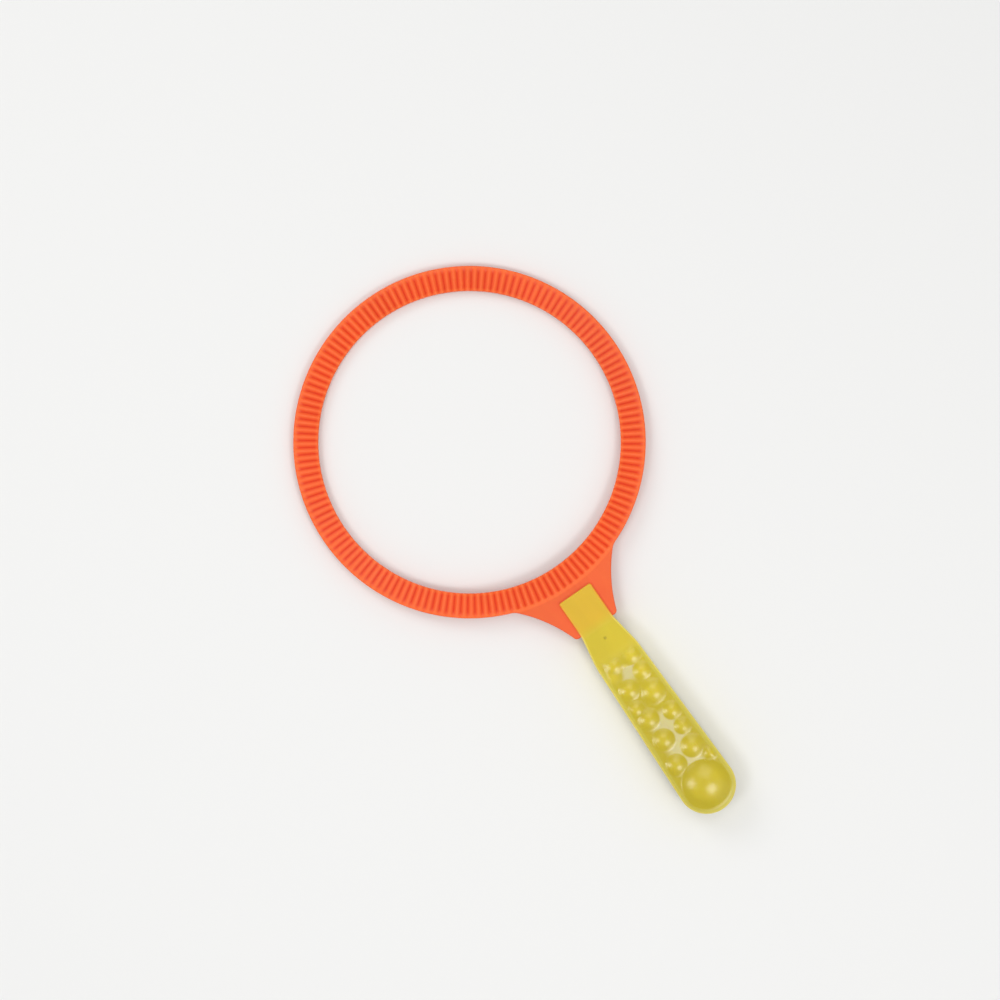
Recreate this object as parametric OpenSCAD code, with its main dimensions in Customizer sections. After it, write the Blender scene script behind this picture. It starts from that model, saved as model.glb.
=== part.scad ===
// Bubble wand: a ribbed ring on a flat web, held between the two halves of a hollow handle.
// X runs across the wand, Y along it with the ring at +Y, and Z out of the front face.
// The origin lies under the middle of the wand, level with the lowest point of the handle's back.

/* [Ring] */
// Outer diameter of the ring
ring_d = 170; // [140:1:200]
// Width of the ring's band, from its outer rim to its inner rim
band_w = 12; // [10:0.5:16]
// Thickness of the ring and of its web
head_t = 4; // [3.6:0.1:5]
// Radius that takes the sharpness off the ring's outer rims
rim_r = 0.5; // [0.2:0.1:0.8]

/* [Ribs] */
// Ribs round each face of the ring
rib_count = 148; // [100:2:160]
// Width of the groove between two ribs, at the face
groove_w = 1.7; // [1.2:0.1:1.8]
// Depth of the groove between two ribs
groove_depth = 0.75; // [0.4:0.05:0.8]
// Smooth border left between the grooves and the outer rim
rib_border = 1.2; // [1:0.1:2.5]

/* [Web] */
// Angle from the wand's axis at which the web leaves the ring
web_angle = 20; // [15:1:24]
// How far the web reaches out from the ring's outer rim
web_reach = 23; // [21:0.5:30]
// Width of the web at its free end, before its corners are rounded
web_tip_w = 23.8; // [21:0.2:28]
// Radius of the web's hollow flanks
flank_r = 72; // [60:1:120]
// Radius of the web's two free corners
web_corner_r = 2.2; // [1:0.1:3]

/* [Handle] */
// Length of the handle
handle_l = 125.6; // [110:0.2:150]
// Gap between the ring's outer rim and the handle's top edge
neck_gap = 3.8; // [2:0.1:6]
// Width of the flat pads that clamp the web
pad_w = 18.2; // [14:0.2:20]
// Thickness of each pad, outside the web
pad_t = 2.2; // [1.8:0.1:3]
// Thickness of the grip, without its bubbles
grip_t = 15; // [13:0.5:18]
// Width of the grip where its flare ends
grip_w = 23.6; // [20.6:0.2:26]
// Width of the grip's round end
end_w = 28.4; // [27:0.2:34]
// Length of the flare, from the pads to the grip
flare_l = 16; // [14:0.5:20]
// Length of the ramp that climbs from each pad to the grip
ramp_l = 13.2; // [11:0.2:14]
// Thickness of the handle's walls
wall_t = 2; // [1.6:0.1:2.4]
// Radius of the grip's rounded shoulders
shoulder_r = 1.5; // [1:0.1:2.5]
// Radius of the pads' edges
pad_edge_r = 0.5; // [0.3:0.1:0.8]
// Radius of the pads' two corners beside the ring, seen from the front
pad_corner_r = 0.8; // [0.3:0.1:1.5]

/* [Bubbles] */
// Smooth border between the bubbles and the handle's outline
bubble_border = 2.6; // [2:0.1:3.5]
// Height of a bubble for each unit of its radius
bubble_rise_share = 0.22; // [0.1:0.01:0.3]

/* [Joining pegs] */
// Diameter of the posts round the pegs
post_d = 5; // [4.5:0.1:6]
// Diameter of the pegs on the back half
peg_d = 2.6; // [2:0.1:2.8]
// Clearance all round a peg, a post, the web and the lip
fit_gap = 0.05; // [0.05:0.01:0.15]
// Height of the lip that lines up the two halves
lip_h = 0.8; // [0.5:0.1:1.2]
// Thickness of the stiffening ribs inside the grip
stiffener_t = 1.2; // [1:0.1:1.6]

/* [Hidden] */
$fn = 96;
// Every cut runs past the face that it opens by this much
overrun = 1;
// Depth that a raised form shares with the wall that it grows from
root_depth = 1.2;
// Room between the stiffening ribs of one half and those of the other
stiffener_gap = 0.15;
// Material left between a peg's socket and the outside of the pad
socket_floor = 0.9;
// Length of the pegs inside the grip
grip_peg_l = 5;
// How far past the web's seat the ramp starts
ramp_set = 1;
// Fillet where a pad runs into its ramp, and round-over at the ramp's top
ramp_foot_r = 5;
ramp_top_r = 8;
// The gate mark that moulding leaves on each ramp, and its place as a share of the ramp
gate_d = 1.5;
gate_depth = 0.25;
gate_share = 0.42;
// Radius of the bubble that fills each half's round end, as a share of end_r
bubble_end_share = 0.817;
// Depth below the grip's top at which the bubbles take root, so that those on the ramp meet it
bubble_root = 2.4;

ring_r = ring_d / 2;
bore_r = ring_r - band_w;
head_half = head_t / 2;
pad_top = head_half + pad_t;
grip_top = grip_t / 2;
end_r = end_w / 2;

// Along the wand, measured down from the centre of the ring
handle_u = ring_r + neck_gap;
web_u = ring_r + web_reach;
seat_u = web_u + fit_gap;
ramp_u = seat_u + ramp_set;
gate_u = ramp_u + gate_share * ramp_l;
flare_end_u = seat_u + flare_l;
end_u = handle_u + handle_l - end_r;
tip_u = handle_u + handle_l;

// The grip's sides are tangent to its round end
taper_a = asin((end_r - grip_w / 2) / norm([end_u - flare_end_u, end_r - grip_w / 2]));
tangent_u = end_u - end_r * sin(taper_a);
tangent_x = end_r * cos(taper_a);

// Pegs, as shares of the pad's length and of the handle's length
pad_peg_shares = [0.27, 0.73];
grip_peg_shares = [0.37, 0.62, 0.86];
pad_peg_us = [for (s = pad_peg_shares) handle_u + s * (web_u - handle_u)];
grip_peg_us = [for (s = grip_peg_shares) handle_u + s * handle_l];

// Bubbles: place along the handle, place across it and radius,
// as shares of handle_l, end_r and end_r
front_bubble_shares = [
    [0.299, -0.070, 0.340], [0.307, 0.475, 0.220], [0.314, -0.475, 0.190],
    [0.389, 0.375, 0.255], [0.426, -0.360, 0.325], [0.480, 0.280, 0.360],
    [0.493, -0.525, 0.240], [0.552, -0.360, 0.320], [0.576, 0.455, 0.275],
    [0.652, -0.390, 0.360], [0.648, 0.460, 0.235], [0.730, 0.345, 0.340],
    [0.756, -0.445, 0.320], [0.793, 0.690, 0.175], [0.887, 0.000, bubble_end_share]
];
back_bubble_shares = [
    [0.285, 0.330, 0.180], [0.300, -0.420, 0.230], [0.340, 0.120, 0.440],
    [0.388, -0.420, 0.290], [0.430, 0.300, 0.300], [0.457, -0.440, 0.240],
    [0.497, 0.400, 0.220], [0.560, -0.400, 0.400], [0.570, 0.300, 0.430],
    [0.672, -0.250, 0.430], [0.680, 0.460, 0.320], [0.772, 0.400, 0.340],
    [0.770, -0.460, 0.300], [0.888, 0.000, bubble_end_share]
];

end_rise = bubble_rise_share * bubble_end_share * end_r;
mid_z = grip_top + end_rise;
ring_y = (tip_u - ring_r) / 2;

// Points along an arc, from one angle to another
function arc(centre, r, from, to, steps = 8) =
    [for (i = [0:steps]) centre + r * [cos(from + (to - from) * i / steps), sin(from + (to - from) * i / steps)]];

// Height of the outside of one half at a distance u down the wand
function top_z(u) = pad_top + (grip_top - pad_top) * min(1, max(0, (u - ramp_u) / ramp_l));

// Places a piece that is drawn from the ring's centre, with its mid plane at zero
module on_wand() {
    translate([0, ring_y, mid_z]) children();
}

// Moves down the wand by u
module down(u, x = 0) {
    translate([x, -u, 0]) children();
}

// Ring with rounded outer rims
module ring_blank() {
    rotate_extrude() {
        translate([bore_r, -head_half]) square([band_w - rim_r, head_t]);
        translate([bore_r, -head_half + rim_r]) square([band_w, head_t - 2 * rim_r]);
        for (y = [rim_r - head_half, head_half - rim_r]) translate([ring_r - rim_r, y]) circle(rim_r);
    }
}

// Web outline: hollow flanks from the ring to two rounded corners
module web_outline() {
    root = [ring_r * sin(web_angle), -ring_r * cos(web_angle)];
    tip = [web_tip_w / 2, -web_u];
    chord = tip - root;
    side = [-chord[1], chord[0]] / norm(chord);
    flank = (root + tip) / 2 + side * sqrt(flank_r * flank_r - norm(chord) * norm(chord) / 4);
    corner_y = web_corner_r - web_u;
    reach = flank_r + web_corner_r;
    corner = [flank[0] - sqrt(reach * reach - (flank[1] - corner_y) * (flank[1] - corner_y)), corner_y];
    touch = corner + web_corner_r * (flank - corner) / reach;
    inner = ring_r - rib_border;
    difference() {
        polygon([
            [corner[0], -web_u], touch, root, inner * [sin(web_angle), -cos(web_angle)],
            inner * [-sin(web_angle), -cos(web_angle)], [-root[0], root[1]], [-touch[0], touch[1]],
            [-corner[0], -web_u]
        ]);
        for (s = [-1, 1]) translate([s * flank[0], flank[1]]) circle(flank_r, $fn = 360);
    }
    for (s = [-1, 1]) translate([s * corner[0], corner[1]]) circle(web_corner_r);
}

// One groove: round in section, open at the bore and round at its outer end
module groove() {
    r = (groove_w * groove_w / 4 + groove_depth * groove_depth) / (2 * groove_depth);
    length = ring_r - rib_border - groove_w / 2 - bore_r + overrun;
    translate([bore_r - overrun, 0, head_half + r - groove_depth]) {
        rotate([0, 90, 0]) cylinder(h = length, r = r, $fn = 24);
        translate([length, 0, 0]) sphere(r, $fn = 24);
    }
}

// Ring, web and ribs in one moulding
module ring_head() {
    color("orangered") on_wand() difference() {
        union() {
            ring_blank();
            translate([0, 0, -head_half]) linear_extrude(head_t) web_outline();
        }
        for (i = [0:rib_count - 1]) rotate((i + 0.5) * 360 / rib_count) {
            groove();
            mirror([0, 0, 1]) groove();
        }
        for (u = pad_peg_us) down(u)
            translate([0, 0, -head_half - overrun]) cylinder(h = head_t + 2 * overrun, d = post_d + 2 * fit_gap);
    }
}

// Outline of the grip below the web's seat, drawn in by the same amount all round
module grip_outline(inset = 0) {
    polygon([
        [pad_w / 2 - inset, -seat_u - inset], [grip_w / 2 - inset, -flare_end_u],
        [tangent_x - inset, -tangent_u], [-tangent_x + inset, -tangent_u],
        [-grip_w / 2 + inset, -flare_end_u], [-pad_w / 2 + inset, -seat_u - inset]
    ]);
    translate([0, -end_u]) circle(end_r - inset, $fn = 180);
}

// Cross section of one side of a half: upright wall at its far edge, then a round shoulder
module edge_profile(width, height, r) {
    square([width, height - r]);
    square([width - r, height]);
    translate([width - r, height - r]) circle(r);
}

// Sides of the handle: the edge profile carried along the line from (x0, u0) to (x1, u1) and past it
module side_sweep(x0, u0, x1, u1, height, r, past = handle_l) {
    length = handle_l + norm([x1 - x0, u1 - u0]) + past;
    for_sides() translate([x0, -u0, 0]) rotate(atan((x1 - x0) / (u1 - u0))) translate([-2 * end_w, handle_l, 0])
        rotate([90, 0, 0]) linear_extrude(length) edge_profile(2 * end_w, height, r);
}

// What both sides have in common
module for_sides() {
    intersection() {
        children();
        mirror([1, 0, 0]) children();
    }
}

// Outside of one half, seen from the side, from its parting face to its top
module side_profile(drop, from_u, to_u, edge_r) {
    slope = atan((grip_top - pad_top) / ramp_l);
    foot = ramp_foot_r * tan(slope / 2);
    top = ramp_top_r * tan(slope / 2);
    polygon(concat(
        [[-to_u, -overrun], [-to_u, grip_top - drop]],
        arc([-ramp_u - ramp_l - top, grip_top - drop - ramp_top_r], ramp_top_r, 90, 90 - slope),
        arc([-ramp_u + foot, pad_top - drop + ramp_foot_r], ramp_foot_r, -90 - slope, -90),
        arc([-from_u - edge_r, pad_top - drop - edge_r], edge_r, 90, 0),
        [[-from_u, -overrun]]
    ));
}

module side_view(drop, from_u, to_u, edge_r) {
    translate([-end_w, 0, 0]) rotate([90, 0, 90]) linear_extrude(2 * end_w)
        side_profile(drop, from_u, to_u, edge_r);
}

// Outline of a pad, with its two corners beside the ring rounded
module pad_outline() {
    corner_x = pad_w / 2 - pad_corner_r;
    translate([-pad_w / 2, -seat_u - root_depth])
        square([pad_w, seat_u - handle_u - pad_corner_r + root_depth]);
    translate([-corner_x, -handle_u - 2 * pad_corner_r]) square([2 * corner_x, 2 * pad_corner_r]);
    for (s = [-1, 1]) translate([s * corner_x, -handle_u - pad_corner_r]) circle(pad_corner_r);
}

// Solid outside form of one half, its parting face at zero
module half_blank() {
    intersection() {
        side_sweep(pad_w / 2, seat_u, grip_w / 2, flare_end_u, grip_top, shoulder_r);
        side_view(0, seat_u, tip_u, pad_edge_r);
        side_sweep(grip_w / 2, flare_end_u, tangent_x, tangent_u, grip_top, shoulder_r, 0);
    }
    down(end_u) rotate(180 - taper_a) rotate_extrude(angle = 180 + 2 * taper_a)
        edge_profile(end_r, grip_top, shoulder_r);
    intersection() {
        side_sweep(pad_w / 2, handle_u, pad_w / 2, seat_u, pad_top, pad_edge_r);
        side_view(0, handle_u, seat_u + root_depth, pad_edge_r);
        linear_extrude(pad_top) pad_outline();
    }
}

// Bubbles of one half, cut off at the smooth border
module bubbles(shares) {
    intersection() {
        for (b = shares) {
            r = b[2] * end_r;
            rise = bubble_rise_share * r;
            ball = (r * r + rise * rise) / (2 * rise);
            down(handle_u + b[0] * handle_l, b[1] * end_r) translate([0, 0, grip_top + rise - ball]) sphere(ball);
        }
        translate([0, 0, grip_top - bubble_root])
            linear_extrude(bubble_root + end_rise + overrun) grip_outline(bubble_border);
    }
}

// Room inside one half, with its posts and stiffening ribs left standing
module half_room() {
    difference() {
        intersection() {
            translate([0, 0, -overrun]) linear_extrude(grip_top + overrun) grip_outline(wall_t);
            side_view(wall_t, seat_u, tip_u, pad_edge_r);
        }
        for (u = grip_peg_us) down(u) {
            translate([-end_r, -stiffener_t / 2, stiffener_gap]) cube([end_w, stiffener_t, grip_top]);
            cylinder(h = grip_top, d = post_d);
        }
    }
}

// Ring along the parting face between two heights: the lip, or the rebate with its clearance on both sides
module lip_ring(low, high, gap) {
    translate([0, 0, low]) linear_extrude(high - low) difference() {
        grip_outline(wall_t / 2 + fit_gap - gap);
        grip_outline(wall_t + gap);
    }
}

// One half without its lip, pegs or sockets
module half_shell(shares) {
    difference() {
        union() {
            half_blank();
            bubbles(shares);
        }
        half_room();
        translate([-end_w, -seat_u, -overrun]) cube([2 * end_w, seat_u, overrun + head_half + fit_gap]);
        down(gate_u) translate([0, 0, top_z(gate_u) - gate_depth]) cylinder(h = overrun, d = gate_d, $fn = 32);
    }
    for (u = pad_peg_us) down(u) cylinder(h = head_half + root_depth, d = post_d);
}

// Front half: sockets for the pegs, and the lip
module handle_front() {
    color("gold") on_wand() {
        difference() {
            half_shell(front_bubble_shares);
            for (u = pad_peg_us) down(u)
                translate([0, 0, -overrun]) cylinder(h = overrun + pad_top - socket_floor, d = peg_d + 2 * fit_gap);
            for (u = grip_peg_us) down(u)
                translate([0, 0, -overrun]) cylinder(h = overrun + grip_peg_l + fit_gap, d = peg_d + 2 * fit_gap);
        }
        lip_ring(-lip_h, root_depth, 0);
    }
}

// Back half: pegs, and the rebate for the lip
module handle_back() {
    color("gold") on_wand() {
        mirror([0, 0, 1]) difference() {
            half_shell(back_bubble_shares);
            lip_ring(-overrun, lip_h + fit_gap, fit_gap);
        }
        for (u = pad_peg_us) down(u) cylinder(h = pad_top - socket_floor - fit_gap, d = peg_d);
        for (u = grip_peg_us) down(u) cylinder(h = grip_peg_l, d = peg_d);
    }
}

ring_head();
handle_front();
handle_back();
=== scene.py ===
import math

import bmesh
import bpy
import numpy as np
from mathutils import Matrix, Vector


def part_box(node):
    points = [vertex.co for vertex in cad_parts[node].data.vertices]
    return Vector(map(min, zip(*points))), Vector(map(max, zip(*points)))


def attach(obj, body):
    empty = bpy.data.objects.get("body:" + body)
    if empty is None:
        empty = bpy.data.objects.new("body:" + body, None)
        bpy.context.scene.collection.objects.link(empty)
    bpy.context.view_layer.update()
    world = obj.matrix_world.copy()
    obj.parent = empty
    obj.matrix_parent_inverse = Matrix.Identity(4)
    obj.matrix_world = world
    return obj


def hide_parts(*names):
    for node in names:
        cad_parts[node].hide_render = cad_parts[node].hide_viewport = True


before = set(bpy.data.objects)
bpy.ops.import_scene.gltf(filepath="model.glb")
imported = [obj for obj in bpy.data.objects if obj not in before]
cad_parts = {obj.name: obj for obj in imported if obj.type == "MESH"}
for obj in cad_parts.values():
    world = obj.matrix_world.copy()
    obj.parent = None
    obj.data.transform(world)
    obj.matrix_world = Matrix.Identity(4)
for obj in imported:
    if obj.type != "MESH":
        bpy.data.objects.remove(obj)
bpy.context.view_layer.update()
scene = bpy.context.scene

# The ring and its web are one flat moulding in orange polypropylene, with a soft satin face.
# Short radial grooves on both faces hold the soap film. They are open at the bore and fade out
# towards the outer rim. The web flares out of the rim and is clamped in the handle.
MM = 0.001
ring_low, ring_high = (np.array(corner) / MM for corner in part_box("ring_head"))
ring_r = (ring_high[0] - ring_low[0]) / 2
ring_y = ring_high[1] - ring_r
mid_z = (ring_low[2] + ring_high[2]) / 2
head_half = (ring_high[2] - ring_low[2]) / 2
bore_r = ring_r - 12
bore_edge_r = 0.25
rim_r = 0.5
rib_count = 148
# A groove's depth, its half width, and the power that shapes the ribs between two grooves
groove_depth = 0.75
groove_half = 1.55
groove_power = 1.4
# The grooves fade from these radii on, slowly at the open rim and fast beside the web. The fast fade
# holds where the web stands at least its reach out of the rim.
open_fade_r = ring_r - 2.9
open_fade_share = 0.45
web_fade_r = ring_r - 1.5
web_fade_share = 1.9
web_fade_reach = 0.6
# The mesh's columns on each side of a groove's centre line, and its rows from the bore outwards
column_steps = np.array([0.25, 0.5, 0.75, 0.98, 1.2, 1.4])
face_steps = np.array([0.9, 5.0, 9.0, 9.6, 9.95, 10.25, 10.55, 10.8, 11.0, 11.25])
web_angle = math.radians(20)
web_u = ring_r + 23
web_tip_half = 11.9
web_root_blend = 0.8
flank_r = 72
web_corner_r = 2.2
# Points nearer than this, in metres, are one point. Edges that turn more than this are sharp.
merge_gap = 1e-7
sharp_angle = math.radians(38)


def smoothstep(start, end, value):
    """0 below the start and 1 above the end. Between them it is three times the square less twice the cube
    of the share of the way."""
    share = np.clip((value - start) / (end - start), 0, 1)
    return share * share * (3 - 2 * share)


def soft_max(a, b, reach):
    """The larger of a and b. Where they differ by less than reach, a parabola rounds the corner."""
    near = np.maximum(reach - np.abs(a - b), 0) / reach
    return np.maximum(a, b) + near * near * reach / 4


def to_frame(x, u, z):
    """Places points given in millimetres: x across the wand, u down it from the ring's centre, and z up
    from its mid plane."""
    x, u, z = np.broadcast_arrays(x, u, z)
    return np.stack([x, ring_y - u, mid_z + z], -1) * MM


def closed_surface(name, points, attributes=None, ends_meet=True):
    """A closed mesh from a grid of points. Each square of four neighbours is a face, and the last column
    joins the first. The last row joins the first where the ends meet, and otherwise each end folds shut on
    its middle line. Points that coincide are merged, and all faces turn outwards."""
    rows, columns = points.shape[:2]
    row, column = np.meshgrid(np.arange(rows if ends_meet else rows - 1), np.arange(columns), indexing="ij")
    next_row, next_column = (row + 1) % rows, (column + 1) % columns
    faces = np.stack(
        [
            row * columns + column,
            row * columns + next_column,
            next_row * columns + next_column,
            next_row * columns + column,
        ],
        -1,
    )
    mesh = bpy.data.meshes.new(name)
    mesh.from_pydata(points.reshape(-1, 3), [], faces.reshape(-1, 4))
    for key, values in (attributes or {}).items():
        layer = mesh.attributes.new(key, "FLOAT", "POINT")
        layer.data.foreach_set("value", values.astype(np.float32).ravel())
    shape = bmesh.new()
    shape.from_mesh(mesh)
    bmesh.ops.remove_doubles(shape, verts=shape.verts, dist=merge_gap)
    bmesh.ops.dissolve_degenerate(shape, edges=shape.edges, dist=merge_gap)
    bmesh.ops.recalc_face_normals(shape, faces=shape.faces)
    shape.to_mesh(mesh)
    shape.free()
    mesh.polygons.foreach_set("use_smooth", np.ones(len(mesh.polygons), bool))
    mesh.set_sharp_from_angle(angle=sharp_angle)
    piece = bpy.data.objects.new(name, mesh)
    scene.collection.objects.link(piece)
    return piece


def web_reach(angle):
    """How far the head reaches from the ring's centre at an angle from the handle's line: the ring's
    radius, or where a ray meets the web's straight end, its corner's arc, or its hollow flank's circle."""
    angle = np.abs(angle)
    ray = np.stack([np.sin(angle), np.cos(angle)])
    root = ring_r * np.array([math.sin(web_angle), math.cos(web_angle)])
    tip = np.array([web_tip_half, web_u])
    chord = tip - root
    across = np.array([chord[1], -chord[0]]) / np.hypot(*chord)
    flank = (root + tip) / 2 + across * math.sqrt(flank_r**2 - chord @ chord / 4)
    corner_u = web_u - web_corner_r
    corner_x = flank[0] - math.sqrt((flank_r + web_corner_r) ** 2 - (flank[1] - corner_u) ** 2)
    corner = np.array([corner_x, corner_u])
    touch = corner + web_corner_r * (flank - corner) / (flank_r + web_corner_r)
    along_flank = flank @ ray
    along_corner = corner @ ray
    on_flank = along_flank - np.sqrt(np.maximum(along_flank**2 - flank @ flank + flank_r**2, 0))
    on_corner = along_corner + np.sqrt(np.maximum(along_corner**2 - corner @ corner + web_corner_r**2, 0))
    web = np.where(angle < math.atan2(corner[0], web_u), web_u / ray[1], on_corner)
    web = np.where(angle > math.atan2(touch[0], touch[1]), on_flank, web)
    return soft_max(np.where(angle < 1.5 * web_angle, web, 0), ring_r, web_root_blend)


def ring_surface():
    """A cross section of the band carried round the ring. Its columns follow each groove's sides at fixed
    distances, so that they stay on its creases. The face sinks towards a groove's centre line by a power of
    the distance to its lip, which rounds the ribs and leaves the groove's bottom sharp. Past the place where
    a groove fades, a share of the way counts as distance too: a small one at the open rim, where the groove
    runs out slowly, and a large one beside the web, where it ends."""
    pitch = 2 * math.pi / rib_count
    offsets = np.concatenate([-column_steps[::-1], [0], column_steps, [0]])
    on_ridge = np.arange(len(offsets)) == len(offsets) - 1
    centre = (np.arange(rib_count)[:, None] + 0.5) * pitch + 0 * offsets
    offset = np.broadcast_to(offsets, centre.shape).ravel()
    ridge = np.broadcast_to(on_ridge, centre.shape).ravel()
    centre = centre.ravel()

    def angle_at(r):
        return centre + np.where(ridge, pitch / 2, offset / r)

    def face_at(r):
        aside = np.where(ridge, r * pitch / 2, np.abs(offset))
        at_open_rim = open_fade_share * max(r - open_fade_r, 0)
        at_web = web_fade_share * max(r - web_fade_r, 0)
        distance = np.hypot(aside, at_open_rim + by_web * (at_web - at_open_rim))
        return head_half - groove_depth * np.maximum(1 - distance / groove_half, 0) ** groove_power

    rim_angle = angle_at(ring_r)
    turn = (rim_angle + math.pi) % (2 * math.pi) - math.pi
    reach = web_reach(turn)
    by_web = smoothstep(0, web_fade_reach, reach - ring_r)
    rim = np.stack([reach * np.sin(rim_angle), reach * np.cos(rim_angle)], -1)
    run = np.roll(rim, -1, 0) - np.roll(rim, 1, 0)
    inward = np.stack([run[:, 1], -run[:, 0]], -1) / np.linalg.norm(run, axis=1, keepdims=True)
    inward *= -np.sign((inward * rim).sum(1, keepdims=True))

    def ring_row(r, z):
        angle = angle_at(r)
        return np.stack([r * np.sin(angle), r * np.cos(angle), z + 0 * angle], -1)

    def rim_row(inset, z):
        return np.concatenate([rim + inward * inset, np.full((len(rim), 1), z)], 1)

    rows = [ring_row(bore_r, 0.0)]
    rows += [ring_row(bore_r, face_at(bore_r) - bore_edge_r)]
    rows += [ring_row(bore_r + 0.3 * bore_edge_r, face_at(bore_r) - 0.3 * bore_edge_r)]
    rows += [ring_row(bore_r + bore_edge_r, face_at(bore_r))]
    rows += [ring_row(r, face_at(r)) for r in bore_r + face_steps]
    edge = rim_row(rim_r, head_half)
    rows += [rows[-1] + (edge - rows[-1]) * share for share in (0.3, 0.65)]
    rows += [
        rim_row(rim_r * (1 - math.sin(a)), head_half - rim_r * (1 - math.cos(a)))
        for a in np.radians([0, 30, 60, 90])
    ]
    rows += [rim_row(0, 0.0)]
    under = [row * [1, 1, -1] for row in rows[-2:0:-1]]
    grid = np.array(rows + under)
    return to_frame(grid[..., 0], grid[..., 1], grid[..., 2])


def node(tree, kind, inputs=None, **settings):
    """Adds a shader node. Settings are its own options. Inputs are its sockets, by name or number, and each
    is given a value or linked from another node's socket."""
    made = tree.nodes.new(kind)
    for key, value in settings.items():
        setattr(made, key, value)
    for key, value in (inputs or {}).items():
        if isinstance(value, bpy.types.NodeSocket):
            tree.links.new(value, made.inputs[key])
        else:
            made.inputs[key].default_value = value
    return made


def reckon(tree, operation, *values, **settings):
    """The result of one operation on numbers."""
    return node(tree, "ShaderNodeMath", dict(enumerate(values)), operation=operation, **settings).outputs[0]


def remap(tree, value, start, end, low, high):
    """A number that goes from low to high as the value goes from the start to the end."""
    inputs = {"Value": value, "From Min": start, "From Max": end, "To Min": low, "To Max": high}
    return node(tree, "ShaderNodeMapRange", inputs).outputs[0]


def mix(tree, factor, first, second):
    """A colour that goes from the first to the second as the factor goes from 0 to 1."""
    inputs = {"Factor": factor, "A": first, "B": second}
    return node(tree, "ShaderNodeMix", inputs, data_type="RGBA").outputs["Result"]


def noise(tree, place, **inputs):
    """Noise between 0 and 1 at a place."""
    return node(tree, "ShaderNodeTexNoise", {"Vector": place, **inputs}).outputs["Fac"]


def moulded_skin_group():
    """The skin of an injection moulding: slow flow marks in its colour, patches of more and less gloss, a
    fine grain from the tool's face, and hairline scratches. All are noise in the piece's coordinates."""
    grain_height = 0.00002
    scratch_depth = 0.00001
    scratch_roughness = 0.25
    gloss_spread = 0.035
    tree = bpy.data.node_groups.new("moulded_skin", "ShaderNodeTree")
    tree.interface.new_socket("Color", in_out="INPUT", socket_type="NodeSocketColor")
    for key, value in {"Roughness": 0.4, "Grain": 0.1, "Flow marks": 0.1, "Scratches": 0.1}.items():
        socket = tree.interface.new_socket(key, in_out="INPUT", socket_type="NodeSocketFloat")
        socket.default_value = value
    tree.interface.new_socket("Color", in_out="OUTPUT", socket_type="NodeSocketColor")
    tree.interface.new_socket("Roughness", in_out="OUTPUT", socket_type="NodeSocketFloat")
    tree.interface.new_socket("Normal", in_out="OUTPUT", socket_type="NodeSocketVector")
    given = tree.nodes.new("NodeGroupInput").outputs
    place = node(tree, "ShaderNodeTexCoord").outputs["Object"]

    stretched = node(tree, "ShaderNodeMapping", {"Vector": place, "Scale": (1, 0.35, 1)})
    flow = noise(tree, stretched.outputs[0], Scale=55.0, Detail=3.0, Roughness=0.55, Distortion=0.6)
    shift = reckon(tree, "MULTIPLY", remap(tree, flow, 0.3, 0.7, -1.0, 1.0), given["Flow marks"])
    brightness = reckon(tree, "ADD", shift, 1.0)
    tinted = node(tree, "ShaderNodeVectorMath", {0: given["Color"], "Scale": brightness}, operation="SCALE")

    patches = noise(tree, place, Scale=130.0, Detail=4.0)
    turn_and_stretch = {"Vector": place, "Rotation": (0, 0, 0.6), "Scale": (1, 0.02, 1)}
    turned = node(tree, "ShaderNodeMapping", turn_and_stretch)
    hairs = noise(tree, turned.outputs[0], Scale=900.0, Detail=1.0, Distortion=0.2)
    hair_lines = remap(tree, hairs, 0.68, 0.74, 0.0, 1.0)
    worn = remap(tree, patches, 0.52, 0.66, 0.0, 1.0)
    scratched = reckon(tree, "MULTIPLY", reckon(tree, "MULTIPLY", hair_lines, worn), given["Scratches"])
    uneven = remap(tree, patches, 0.3, 0.7, -gloss_spread, gloss_spread)
    rough = reckon(tree, "ADD", given["Roughness"], uneven)
    rougher = reckon(tree, "MULTIPLY_ADD", scratched, scratch_roughness, rough, use_clamp=True)

    grain = noise(tree, place, Scale=2600.0, Detail=2.0, Roughness=0.6)
    grained = {"Distance": grain_height, "Strength": given["Grain"], "Height": grain}
    normal = node(tree, "ShaderNodeBump", grained).outputs[0]
    scored = {"Distance": scratch_depth, "Strength": 0.4, "Height": scratched, "Normal": normal}
    normal = node(tree, "ShaderNodeBump", scored, invert=True).outputs[0]
    node(tree, "NodeGroupOutput", {"Color": tinted.outputs[0], "Roughness": rougher, "Normal": normal})
    return tree


def plastic(name, constants):
    """A new material, its tree of nodes and its shader, with these constants on the shader's sockets."""
    material = bpy.data.materials.new(name)
    material.use_nodes = True
    shader = material.node_tree.nodes["Principled BSDF"]
    for key, value in constants.items():
        shader.inputs[key].default_value = value
    return material, material.node_tree, shader


moulded_skin = moulded_skin_group()
plastic_ior = 1.49


def put_skin(tree, shader, inputs):
    """Puts the moulded skin between a plastic's own tones and its shader."""
    skin = node(tree, "ShaderNodeGroup", inputs, node_tree=moulded_skin).outputs
    tree.links.new(skin["Color"], shader.inputs["Base Color"])
    tree.links.new(skin["Roughness"], shader.inputs["Roughness"])
    tree.links.new(skin["Normal"], shader.inputs["Normal"])


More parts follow.
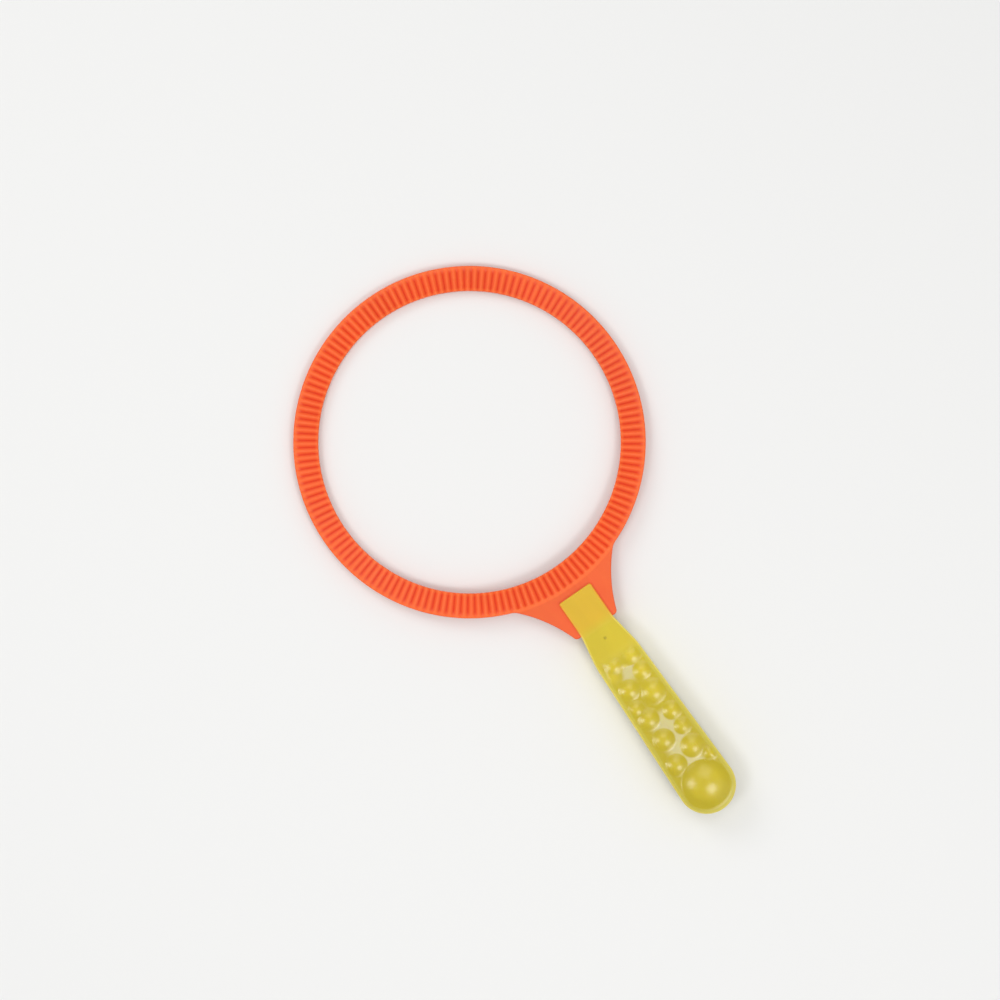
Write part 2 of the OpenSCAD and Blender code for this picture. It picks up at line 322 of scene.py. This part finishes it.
def orange_plastic():
    """Opaque orange polypropylene: satin. Painted shade makes it a little darker in the grooves and on the
    web, and painted highlights make it paler at the bore's edge and the outer rim."""
    groove_shade = (0.77, 0.040, 0.003, 1)
    shaded_web = (0.87, 0.112, 0.008, 1)
    on_ribs = (0.96, 0.127, 0.009, 1)
    edge_highlight = (1.0, 0.20, 0.03, 1)
    constants = {
        "IOR": plastic_ior,
        "Subsurface Weight": 0.25,
        "Subsurface Radius": (1.0, 0.35, 0.1),
        "Subsurface Scale": 0.0006,
    }
    material, tree, shader = plastic("orange_plastic", constants)
    place = node(tree, "ShaderNodeTexCoord").outputs["Object"]
    z = node(tree, "ShaderNodeSeparateXYZ", {"Vector": place}).outputs["Z"]
    height = reckon(tree, "ABSOLUTE", reckon(tree, "SUBTRACT", z, mid_z * MM))
    raised = remap(tree, height, (head_half - groove_depth) * MM, head_half * MM, 0.0, 1.0)
    centre = (0, ring_y * MM, mid_z * MM)
    r = node(tree, "ShaderNodeVectorMath", {0: place, 1: centre}, operation="DISTANCE").outputs["Value"]
    # Masks of the painted highlights at the bore's edge and the outer rim, where the rounded edges catch the
    # light
    bore_edge = remap(tree, r, (bore_r + 0.4) * MM, (bore_r + 1.8) * MM, 0.45, 0.0)
    outer_rim = remap(tree, r, (ring_r - 2.2) * MM, (ring_r - 0.6) * MM, 0.0, 0.25)
    # Painted shade on the web: the ribs keep their tone on the ring, and the web beyond it is darker
    on_ring = remap(tree, r, (ring_r + 0.1) * MM, (ring_r + 0.9) * MM, 1.0, 0.0)
    # Painted shade: the grooves darker by their depth, and the web darker than the ribs
    colour = mix(tree, raised, groove_shade, mix(tree, on_ring, shaded_web, on_ribs))
    # Painted highlights: paler at the bore's edge and the outer rim
    colour = mix(tree, reckon(tree, "MULTIPLY_ADD", outer_rim, on_ring, bore_edge), colour, edge_highlight)
    skin = {"Color": colour, "Roughness": 0.46, "Grain": 0.35, "Flow marks": 0.035, "Scratches": 0.5}
    put_skin(tree, shader, skin)
    return material


ring_skin = closed_surface("ring_skin", ring_surface())
ring_skin.data.materials.append(orange_plastic())
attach(ring_skin, "root")
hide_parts("ring_head")

# The handle's front half is a hollow shell in glossy, slightly translucent yellow polypropylene.
# A flat pad clamps the web, a ramp climbs to the grip, and soap-bubble domes fill the grip within a
# smooth border. It is pressed onto the back half's pegs, and the seam runs round the mid plane.
front_low, front_high = (np.array(corner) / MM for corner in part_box("handle_front"))
handle_u = ring_y - front_high[1]
tip_u = ring_y - front_low[1]
handle_l = tip_u - handle_u
end_r = (front_high[0] - front_low[0]) / 2
end_u = tip_u - end_r
fit_gap = 0.05
seat_u = web_u + fit_gap
pad_half = 9.1
pad_top = head_half + 2.2
pad_floor = head_half + fit_gap
pad_corner_r = 0.8
pad_edge_r = 0.5
grip_half = 11.8
grip_top = 7.5
shoulder_r = 1.1
wall_t = 2.0
hollow_chamfer = 0.8
seam_chamfer = 0.14
flare_end_u = seat_u + 16
ramp_u = seat_u + 1
ramp_l = 13.2
ramp_end_u = ramp_u + ramp_l
# How far the bends reach on each side of a corner: of the sides, the ramp's foot and the ramp's top
side_bend = 2
foot_bend = 1.2
ramp_top_bend = 1.8
# The gate mark on the ramp
gate_u = ramp_u + 0.42 * ramp_l
gate_r = 0.75
gate_depth = 0.25
# Each bubble's place along the handle, place across it and radius, as shares of handle_l, end_r and end_r
front_bubble_shares = [
    (0.312, -0.320, 0.300), (0.314, 0.370, 0.300), (0.386, 0.385, 0.290),
    (0.421, -0.340, 0.350), (0.476, 0.300, 0.410),
    (0.497, -0.525, 0.270), (0.556, -0.360, 0.350), (0.576, 0.455, 0.300),
    (0.652, -0.330, 0.370), (0.648, 0.450, 0.270), (0.732, 0.345, 0.380),
    (0.758, -0.460, 0.360), (0.793, 0.720, 0.215),
]
# Their height as a share of their radius, the reach of the blend at their feet, how high over the skin
# a cap counts as part of its bubble, and the share of the radius past which a bubble isn't felt
bubble_rise_share = 0.2
bubble_blend = 0.6
cap_edge = 0.1
bubble_reach = 2
# The bubble that fills the round end, its blend, which shrinks to the least one along the end, and how
# far the end's top falls below the grip's beside it
end_bubble_share = (0.8775, 0.0, 0.817)
end_bubble_rise_share = 0.22
end_bubble_blend = 0.24
least_blend = 0.001
end_drop = 0.6
# The front ramp runs out into a flat pillow, placed as the bubbles are, and a nearly flat bubble beside it
pillow_share = (0.228, 0.30, 1.07)
pillow_rise = 0.45
pillow_power = 8
pillow_reach = 1.3
pillow_blend = 0.8
flat_bubble_share = (0.345, -0.560, 0.300)
flat_rise_share = 0.08
# The starts and ends of fades down the handle: the growth of the upper edge's radius, the drop of the
# round end, the blend at the end bubble's foot, the gloss, the grip's tone, and the web's shade in the pad
edge_growth = (ramp_u - 2, ramp_end_u)
end_drop_fade = (end_u - 3, end_u + 6)
end_blend_fade = (end_u - 3, end_u + 3)
grip_gloss_fade = (ramp_end_u, ramp_end_u + 6)
grip_tone_fade = (ramp_end_u + 1, ramp_end_u + 8)
web_shade_fade = (web_u - 4, web_u + 3)
# Fades inwards from the outline: the painted highlight on the rim, the bubbles' rise out of the border, and
# the gloss
rim_fade = (0.3, 1.1)
border_fade = (0.6, 3.7)
gloss_fade = (1.0, 3.2)
# Fades outwards from the gate's centre: its wall, and its tone
gate_wall = (gate_r - 0.3, gate_r)
gate_tone = (gate_r - 0.4, gate_r + 0.4)
# Fades of the painted light outwards from a bubble's top and the end bubble's, as shares of the radius
dome_fade = (0.1, 1.0)
end_dome_fade = (0.45, 0.9)
# Fades of the painted reflection on the skin between the bubbles: with its height, and with its share of the
# half width
valley_fade = (0.0, 0.16)
central_fade = (0.25, 0.65)
# Where along the handle it is at its palest, as shares of handle_l, and the shares over which it fades
pale_stretch_shares = [(0.352, 0.372), (0.57, 0.80)]
pale_fade_in = 0.03
pale_fade_out = 0.04
# The distance between the mesh's points, and the points along the shoulder's curve
skin_step = 0.27
shoulder_steps = 10


def soft_ramp(distance, bend):
    """0 before the ramp and the distance after it, with a parabola over the bend's length on both sides of
    its foot."""
    return np.where(
        np.abs(distance) < bend, (distance + bend) ** 2 / (4 * bend), np.maximum(distance, 0)
    )


def half_width(u):
    """Half the handle's width: the pad's, then a flare, then a taper that meets the round end on its
    tangent."""
    taper_end_u = end_u - end_r * (end_r - grip_half) / (end_u - flare_end_u)
    flare = (grip_half - pad_half) / (flare_end_u - seat_u)
    taper = (math.sqrt(end_r**2 - (end_u - taper_end_u) ** 2) - grip_half) / (taper_end_u - flare_end_u)
    flared = pad_half + flare * soft_ramp(u - seat_u, side_bend)
    return flared - (flare - taper) * soft_ramp(u - flare_end_u, side_bend)


def ramp_line(u):
    """The height of the pad, and of the ramp and its line beyond its top."""
    return pad_top + (grip_top - pad_top) / ramp_l * soft_ramp(u - ramp_u, foot_bend)


def top_height(u):
    """The top of a half above the mid plane: the pad's, then up the ramp to the grip's, with soft bends."""
    return ramp_line(u) - (grip_top - pad_top) / ramp_l * soft_ramp(u - ramp_end_u, ramp_top_bend)


def from_axis(x, u, shares):
    """How far points are from the middle of a bubble, seen from above, as a share of its radius."""
    along, across, radius_share = shares
    return np.hypot(x - across * end_r, u - handle_u - along * handle_l) / (radius_share * end_r)


def bubble_cap(x, u, shares, rise_share):
    """The height of a bubble's sphere. Its centre lies under the grip's top so that the cap has the
    bubble's radius and rise, and above it the height is the square root of the sphere's radius squared
    less the distance from its axis squared."""
    radius = shares[2] * end_r
    rise = rise_share * radius
    ball = (radius**2 + rise**2) / (2 * rise)
    away = from_axis(x, u, shares) * radius
    return grip_top + rise - ball + np.sqrt(np.maximum(ball**2 - away**2, 0))


def shell_height(x, u):
    """The top of a half without its bubbles. At the round end it falls with the end bubble's sphere, and
    nears the set drop as an exponential does its limit."""
    end_bubble = bubble_cap(x, u, end_bubble_share, end_bubble_rise_share)
    below = np.maximum(top_height(u) - end_bubble, 0)
    drop = end_drop * (1 - np.exp(-below / end_drop))
    return top_height(u) - smoothstep(*end_drop_fade, u) * drop


def pillow_height(x, u):
    """The pillow that the front ramp runs out into. It is as high as the ramp's line, and beyond that falls
    from its centre by a power of the distance, as a share of its radius."""
    away = np.minimum(from_axis(x, u, pillow_share), pillow_reach)
    pillow = grip_top + pillow_rise * (1 - away**pillow_power)
    return -soft_max(-pillow, -ramp_line(u), pillow_blend)


def edge_radius(u):
    """The radius of a half's upper edge, which grows from the pad's to the grip's along the ramp."""
    return pad_edge_r + (shoulder_r - pad_edge_r) * smoothstep(*edge_growth, u)


def inside_by(x, u):
    """How far a point lies inside the handle's outline."""
    beside = half_width(np.minimum(u, end_u)) - np.abs(x)
    return np.where(u < end_u, beside, end_r - np.hypot(x, u - end_u))


def handle_columns():
    """The outline of the handle as points, their inward directions, and the points on the middle line that
    they look at. It runs along the top edge from its middle, round a corner, down one side, round the end,
    and back up the other side."""
    middle_u = handle_u + pad_half
    top_x = np.arange(0, pad_half - pad_corner_r, skin_step)
    top_edge = [top_x, handle_u + 0 * top_x, 0 * top_x, 1 + 0 * top_x, middle_u + 0 * top_x]

    corner_a = np.radians(np.linspace(-90, 0, 7))
    corner = [
        pad_half - pad_corner_r + pad_corner_r * np.cos(corner_a),
        handle_u + pad_corner_r + pad_corner_r * np.sin(corner_a),
        -np.cos(corner_a),
        -np.sin(corner_a),
        middle_u + 0 * corner_a,
    ]

    # The side stops just before the round end. A pair of columns, close together, marks the step at the
    # web's end, and another the step at the hollow's. The outline's slope is taken over a short stretch.
    side_end_u = end_u - 0.6
    step = 1e-4
    stretch = 0.01
    side_u = np.arange(handle_u + pad_corner_r + skin_step, side_end_u, skin_step)
    steps = [seat_u - step, seat_u + step, seat_u + wall_t - step, seat_u + wall_t + step]
    side_u = np.sort(np.concatenate([side_u, steps]))
    slope = (half_width(side_u + stretch) - half_width(side_u - stretch)) / (2 * stretch)
    length = np.hypot(1, slope)
    side = [half_width(side_u), side_u, -1 / length, slope / length, np.maximum(side_u, middle_u)]

    tangent = math.asin((end_r - grip_half) / (end_u - flare_end_u))
    end_a = np.linspace(-tangent, math.pi / 2, int(end_r * math.pi / 2 / skin_step))
    end = [
        end_r * np.cos(end_a),
        end_u + end_r * np.sin(end_a),
        -np.cos(end_a),
        -np.sin(end_a),
        end_u + 0 * end_a,
    ]
    columns = np.concatenate([np.stack(part, -1) for part in (top_edge, corner, side, end)])
    back = columns[-2:0:-1] * [-1, 1, -1, 1, 1]
    return np.concatenate([columns, back])


def half_surface(name, bubble_shares, side):
    """One half of the handle as rings of points that shrink from its outline to its middle line: the
    ceiling of the hollow, its wall, the parting face, the outer wall, a round shoulder, and the top. The
    top is the soft maximum of the shell, raised to the pillow on the front, and of each bubble, a cap of a
    sphere. The border fades these out, and the gate is a small pit. Attributes from 0 to 1 say where the
    plastic has another tone or gloss, or where light, shade or a reflection is painted. Of these, dome is 1
    at a bubble's top, and falls with the distance from it to 0 at its foot: it paints light on the bubbles'
    tops and leaves their feet in shade. Rim paints a highlight along the outline, and valley a reflection
    on the level skin between the bubbles."""
    columns = handle_columns()
    base, inward, middle_u = columns[:, :2], columns[:, 2:4], columns[:, 4]
    middle = np.stack([0 * middle_u, middle_u], -1)
    hollow = base[:, 1] > seat_u + wall_t
    parting = np.where(base[:, 1] < seat_u, pad_floor, 0.0)
    edge_r = edge_radius(base[:, 1])

    def inset(distance):
        return base + inward * np.reshape(distance, (-1, 1))

    def towards_middle(points, share):
        return points + (middle - points) * share

    def ceiling(points, drop=0.0):
        return np.where(hollow, top_height(points[:, 1]) - wall_t - drop, parting)

    within = inset(wall_t + hollow_chamfer)
    rows = [towards_middle(within, share) for share in (1.0, 0.6, 0.3, 0.0)]
    rows = [(points, ceiling(points)) for points in rows]
    rows += [(inset(wall_t), ceiling(inset(wall_t), hollow_chamfer)), (inset(wall_t), parting)]
    rows += [(inset(seam_chamfer), parting), (base, parting + seam_chamfer)]
    top_edge = inset(edge_r)
    height = shell_height(top_edge[:, 0], top_edge[:, 1])
    rows += [(base, (parting + height - edge_r) / 2 + seam_chamfer)]
    below = len(rows)
    for a in np.linspace(0, math.pi / 2, shoulder_steps):
        rows.append((inset(edge_r * (1 - math.cos(a))), height - edge_r * (1 - math.sin(a))))
    top_rows = int(end_r / skin_step) - 6
    for share in np.linspace(0, 1, top_rows)[1:]:
        points = towards_middle(top_edge, share)
        rows.append((points, shell_height(points[:, 0], points[:, 1])))
    place = np.array([points for points, _ in rows])
    z = np.array([np.broadcast_to(heights, len(base)) for _, heights in rows])

    x, u = place[below:, :, 0], place[below:, :, 1]
    depth = inside_by(x, u)
    shell = z[below:].copy()
    top = shell
    dome = np.zeros(shell.shape)
    bubbles = [(shares, bubble_rise_share, bubble_blend, dome_fade) for shares in bubble_shares]
    if side > 0:
        top = np.maximum(top, pillow_height(x, u))
        bubbles.append((flat_bubble_share, flat_rise_share, bubble_blend, dome_fade))
    end_blend = least_blend + end_bubble_blend * (1 - smoothstep(*end_blend_fade, u))
    bubbles.append((end_bubble_share, end_bubble_rise_share, end_blend, end_dome_fade))
    for shares, rise_share, blend, fade in bubbles:
        away = from_axis(x, u, shares)
        cap = bubble_cap(x, u, shares, rise_share)
        on_cap = smoothstep(-cap_edge, cap_edge, cap - top) * (away < bubble_reach)
        dome += (1 - smoothstep(*fade, away) - dome) * on_cap
        top = np.where(away < bubble_reach, soft_max(top, cap, blend), top)
    top = shell + (top - shell) * smoothstep(*border_fade, depth)
    from_gate = np.hypot(x, u - gate_u)
    z[below:] = top - gate_depth * (1 - smoothstep(*gate_wall, from_gate))

    # The valley mask paints a reflection on the level skin between the bubbles
    level = 1 - smoothstep(*valley_fade, top - shell)
    central = 1 - smoothstep(*central_fade, np.abs(x) / half_width(np.minimum(u, end_u)))
    along = (u - handle_u) / handle_l
    pale_stretch = sum(
        smoothstep(start - pale_fade_in, start, along) * (1 - smoothstep(end, end + pale_fade_out, along))
        for start, end in pale_stretch_shares
    )
    on_top = {
        "dome": dome,
        "gate": 1 - smoothstep(*gate_tone, from_gate),
        "polished": smoothstep(*gloss_fade, depth) * smoothstep(*grip_gloss_fade, u),
        "valley": level * central * pale_stretch,
    }
    under = np.zeros((below, len(base)))
    attributes = {key: np.concatenate([under, values]) for key, values in on_top.items()}
    x, u = place[..., 0], place[..., 1]
    attributes["over_web"] = 1 - smoothstep(*web_shade_fade, u)
    attributes["on_grip"] = smoothstep(*grip_tone_fade, u)
    attributes["rim"] = 1 - smoothstep(*rim_fade, inside_by(x, u))
    return closed_surface(name, to_frame(x, u, side * z), attributes, ends_meet=False)


def yellow_plastic():
    """Translucent yellow polypropylene: satin on the pads, walls and border, polished among the bubbles.
    The orange web shows through the pads and warms them. Painted light makes the bubbles' tops and the
    outline's rim paler, painted orange bounce light warms the pad's rim, a painted reflection makes the pale
    valleys between the bubbles, and painted shade darkens the grip slowly from the ramp to the round end."""
    on_pad = (0.735, 0.468, 0.008, 1)
    pad_rim_bounce = (0.81, 0.40, 0.012, 1)
    on_ramp = (0.618, 0.486, 0.011, 1)
    on_border = (0.574, 0.492, 0.038, 1)
    among_bubbles = (0.56, 0.446, 0.015, 1)
    lit_bubble_top = (0.65, 0.52, 0.025, 1)
    rim_highlight = (0.76, 0.64, 0.12, 1)
    in_gate = (0.46, 0.36, 0.008, 1)
    valley_reflection = (0.68, 0.60, 0.26, 1)
    constants = {
        "IOR": plastic_ior,
        "Subsurface Weight": 0.45,
        "Subsurface Radius": (1.0, 0.75, 0.15),
        "Subsurface Scale": 0.002,
    }
    material, tree, shader = plastic("yellow_plastic", constants)

    def mask(name):
        return node(tree, "ShaderNodeAttribute", attribute_name=name).outputs["Fac"]

    rim = mask("rim")
    polished = mask("polished")
    colour = mix(tree, mask("on_grip"), on_ramp, on_border)
    colour = mix(tree, polished, colour, among_bubbles)
    # Painted light: the bubbles' tops paler than their shaded feet
    colour = mix(tree, mask("dome"), colour, lit_bubble_top)
    # Painted highlight along the outline's rim
    colour = mix(tree, rim, colour, rim_highlight)
    place = node(tree, "ShaderNodeTexCoord").outputs["Object"]
    y = node(tree, "ShaderNodeSeparateXYZ", {"Vector": place}).outputs["Y"]
    # Painted shade: the grip darker towards the round end
    start_y, end_y = ((ring_y - handle_u - share * handle_l) * MM for share in (0.3, 0.8))
    shade_to_end = remap(tree, y, start_y, end_y, 1.07, 0.95)
    shaded_to_end = node(tree, "ShaderNodeVectorMath", {0: colour, "Scale": shade_to_end}, operation="SCALE")
    # Painted orange bounce light from the web on the pad's rim
    pad = mix(tree, rim, on_pad, pad_rim_bounce)
    colour = mix(tree, mask("over_web"), shaded_to_end.outputs["Vector"], pad)
    colour = mix(tree, mask("gate"), colour, in_gate)
    # Painted reflection: pale patches on the level skin between the bubbles
    colour = mix(tree, mask("valley"), colour, valley_reflection)
    gloss = remap(tree, polished, 0.0, 1.0, 0.36, 0.21)
    grain = remap(tree, polished, 0.0, 1.0, 0.3, 0.04)
    skin = {"Color": colour, "Roughness": gloss, "Grain": grain, "Flow marks": 0.05, "Scratches": 0.6}
    put_skin(tree, shader, skin)
    return material


handle_plastic = yellow_plastic()
front_skin = half_surface("handle_front_skin", front_bubble_shares, 1)
front_skin.data.materials.append(handle_plastic)
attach(front_skin, "root")
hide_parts("handle_front")

# The handle's back half is the same shell turned over, in the same yellow polypropylene, with its own
# set of bubbles and no pillow. The real half carries the pegs that go through the web and into the front
# half; this skin leaves them out.
back_bubble_shares = [
    (0.285, 0.330, 0.180), (0.300, -0.420, 0.230), (0.340, 0.120, 0.440),
    (0.388, -0.420, 0.290), (0.430, 0.300, 0.300), (0.457, -0.440, 0.240),
    (0.497, 0.400, 0.220), (0.560, -0.400, 0.400), (0.570, 0.300, 0.430),
    (0.672, -0.250, 0.430), (0.680, 0.460, 0.320), (0.772, 0.400, 0.340),
    (0.770, -0.460, 0.300),
]
back_skin = half_surface("handle_back_skin", back_bubble_shares, -1)
back_skin.data.materials.append(handle_plastic)
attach(back_skin, "root")
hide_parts("handle_back")

# The floor is a pale sheet under the wand. The wand leans on it at a bubble of its back and at the far
# edge of its ring, so the sheet is tilted to touch both while the model keeps to its axes.
ring_touch = Vector((0, ring_high[1], ring_low[2])) * MM
back_points = np.empty(3 * len(back_skin.data.vertices))
back_skin.data.vertices.foreach_get("co", back_points)
back_points = back_points.reshape(-1, 3)
fall = (ring_touch.z - back_points[:, 2]) / (ring_touch.y - back_points[:, 1])
lean = math.atan(fall.max())
floor_size = 4.0
floor_corners = np.array([[-1, -1, 0], [1, -1, 0], [1, 1, 0], [-1, 1, 0]]) * floor_size / 2
floor_mesh = bpy.data.meshes.new("floor")
floor_mesh.from_pydata(floor_corners, [], [[0, 1, 2, 3]])
floor_mesh.transform(Matrix.Translation(ring_touch) @ Matrix.Rotation(lean, 4, "X"))
floor_paper = {"Base Color": (0.86, 0.86, 0.85, 1), "Roughness": 0.85}
floor_mesh.materials.append(plastic("floor_paper", floor_paper)[0])
floor = bpy.data.objects.new("floor", floor_mesh)
scene.collection.objects.link(floor)

# The camera looks straight down on the wand's front face, turned so that the handle points to the
# lower right. Its field is as wide as the photograph's, and the ring lies up and left of its middle.
field_width = 0.482
camera_height = 1.4
camera_turn = math.radians(-34.7)
image_right = Vector((math.cos(camera_turn), math.sin(camera_turn), 0))
image_up = Vector((-math.sin(camera_turn), math.cos(camera_turn), 0))
ring_centre = Vector((0, ring_y, mid_z + head_half)) * MM
ring_left_of_middle = 0.0147
ring_above_middle = 0.0279
aim = ring_centre + image_right * ring_left_of_middle - image_up * ring_above_middle
camera_data = bpy.data.cameras.new("camera")
camera_data.lens = camera_data.sensor_width * camera_height / field_width
camera_data.clip_end = 10
camera = bpy.data.objects.new("camera", camera_data)
camera.location = aim + Vector((0, 0, camera_height))
camera.rotation_euler = (0, 0, camera_turn)
scene.collection.objects.link(camera)
scene.camera = camera


# Soft studio light: a key from the upper left, a weaker fill from the lower right, a large panel nearly
# overhead, and two small panels whose reflections are the bright points on the bubbles.
def panel(name, right, up, height, size, power):
    """A square light panel that faces the wand, placed by its distances to the image's right and top and
    upwards."""
    data = bpy.data.lights.new(name, "AREA")
    data.shape = "SQUARE"
    data.size = size
    data.energy = power
    light = bpy.data.objects.new(name, data)
    light.location = aim + image_right * right + image_up * up + Vector((0, 0, height))
    light.rotation_mode = "QUATERNION"
    light.rotation_quaternion = (aim - light.location).to_track_quat("-Z", "Y")
    scene.collection.objects.link(light)


panel("key", -0.9, 0.9, 1.2, 0.8, 5.2)
panel("fill", 1.1, -0.7, 1.3, 1.2, 2.2)
panel("overhead", 0.17, 0.49, 2.0, 0.88, 4.4)
panel("spark_right", 0.454, -0.499, 1.2, 0.38, 3.2)
panel("spark_left", -0.458, -0.295, 1.2, 0.33, 2.4)
scene.world = bpy.data.worlds.new("studio")
scene.world.use_nodes = True
background = scene.world.node_tree.nodes["Background"]
background.inputs["Color"].default_value = (1, 1, 1, 1)
background.inputs["Strength"].default_value = 0.54
scene.view_settings.view_transform = "Standard"
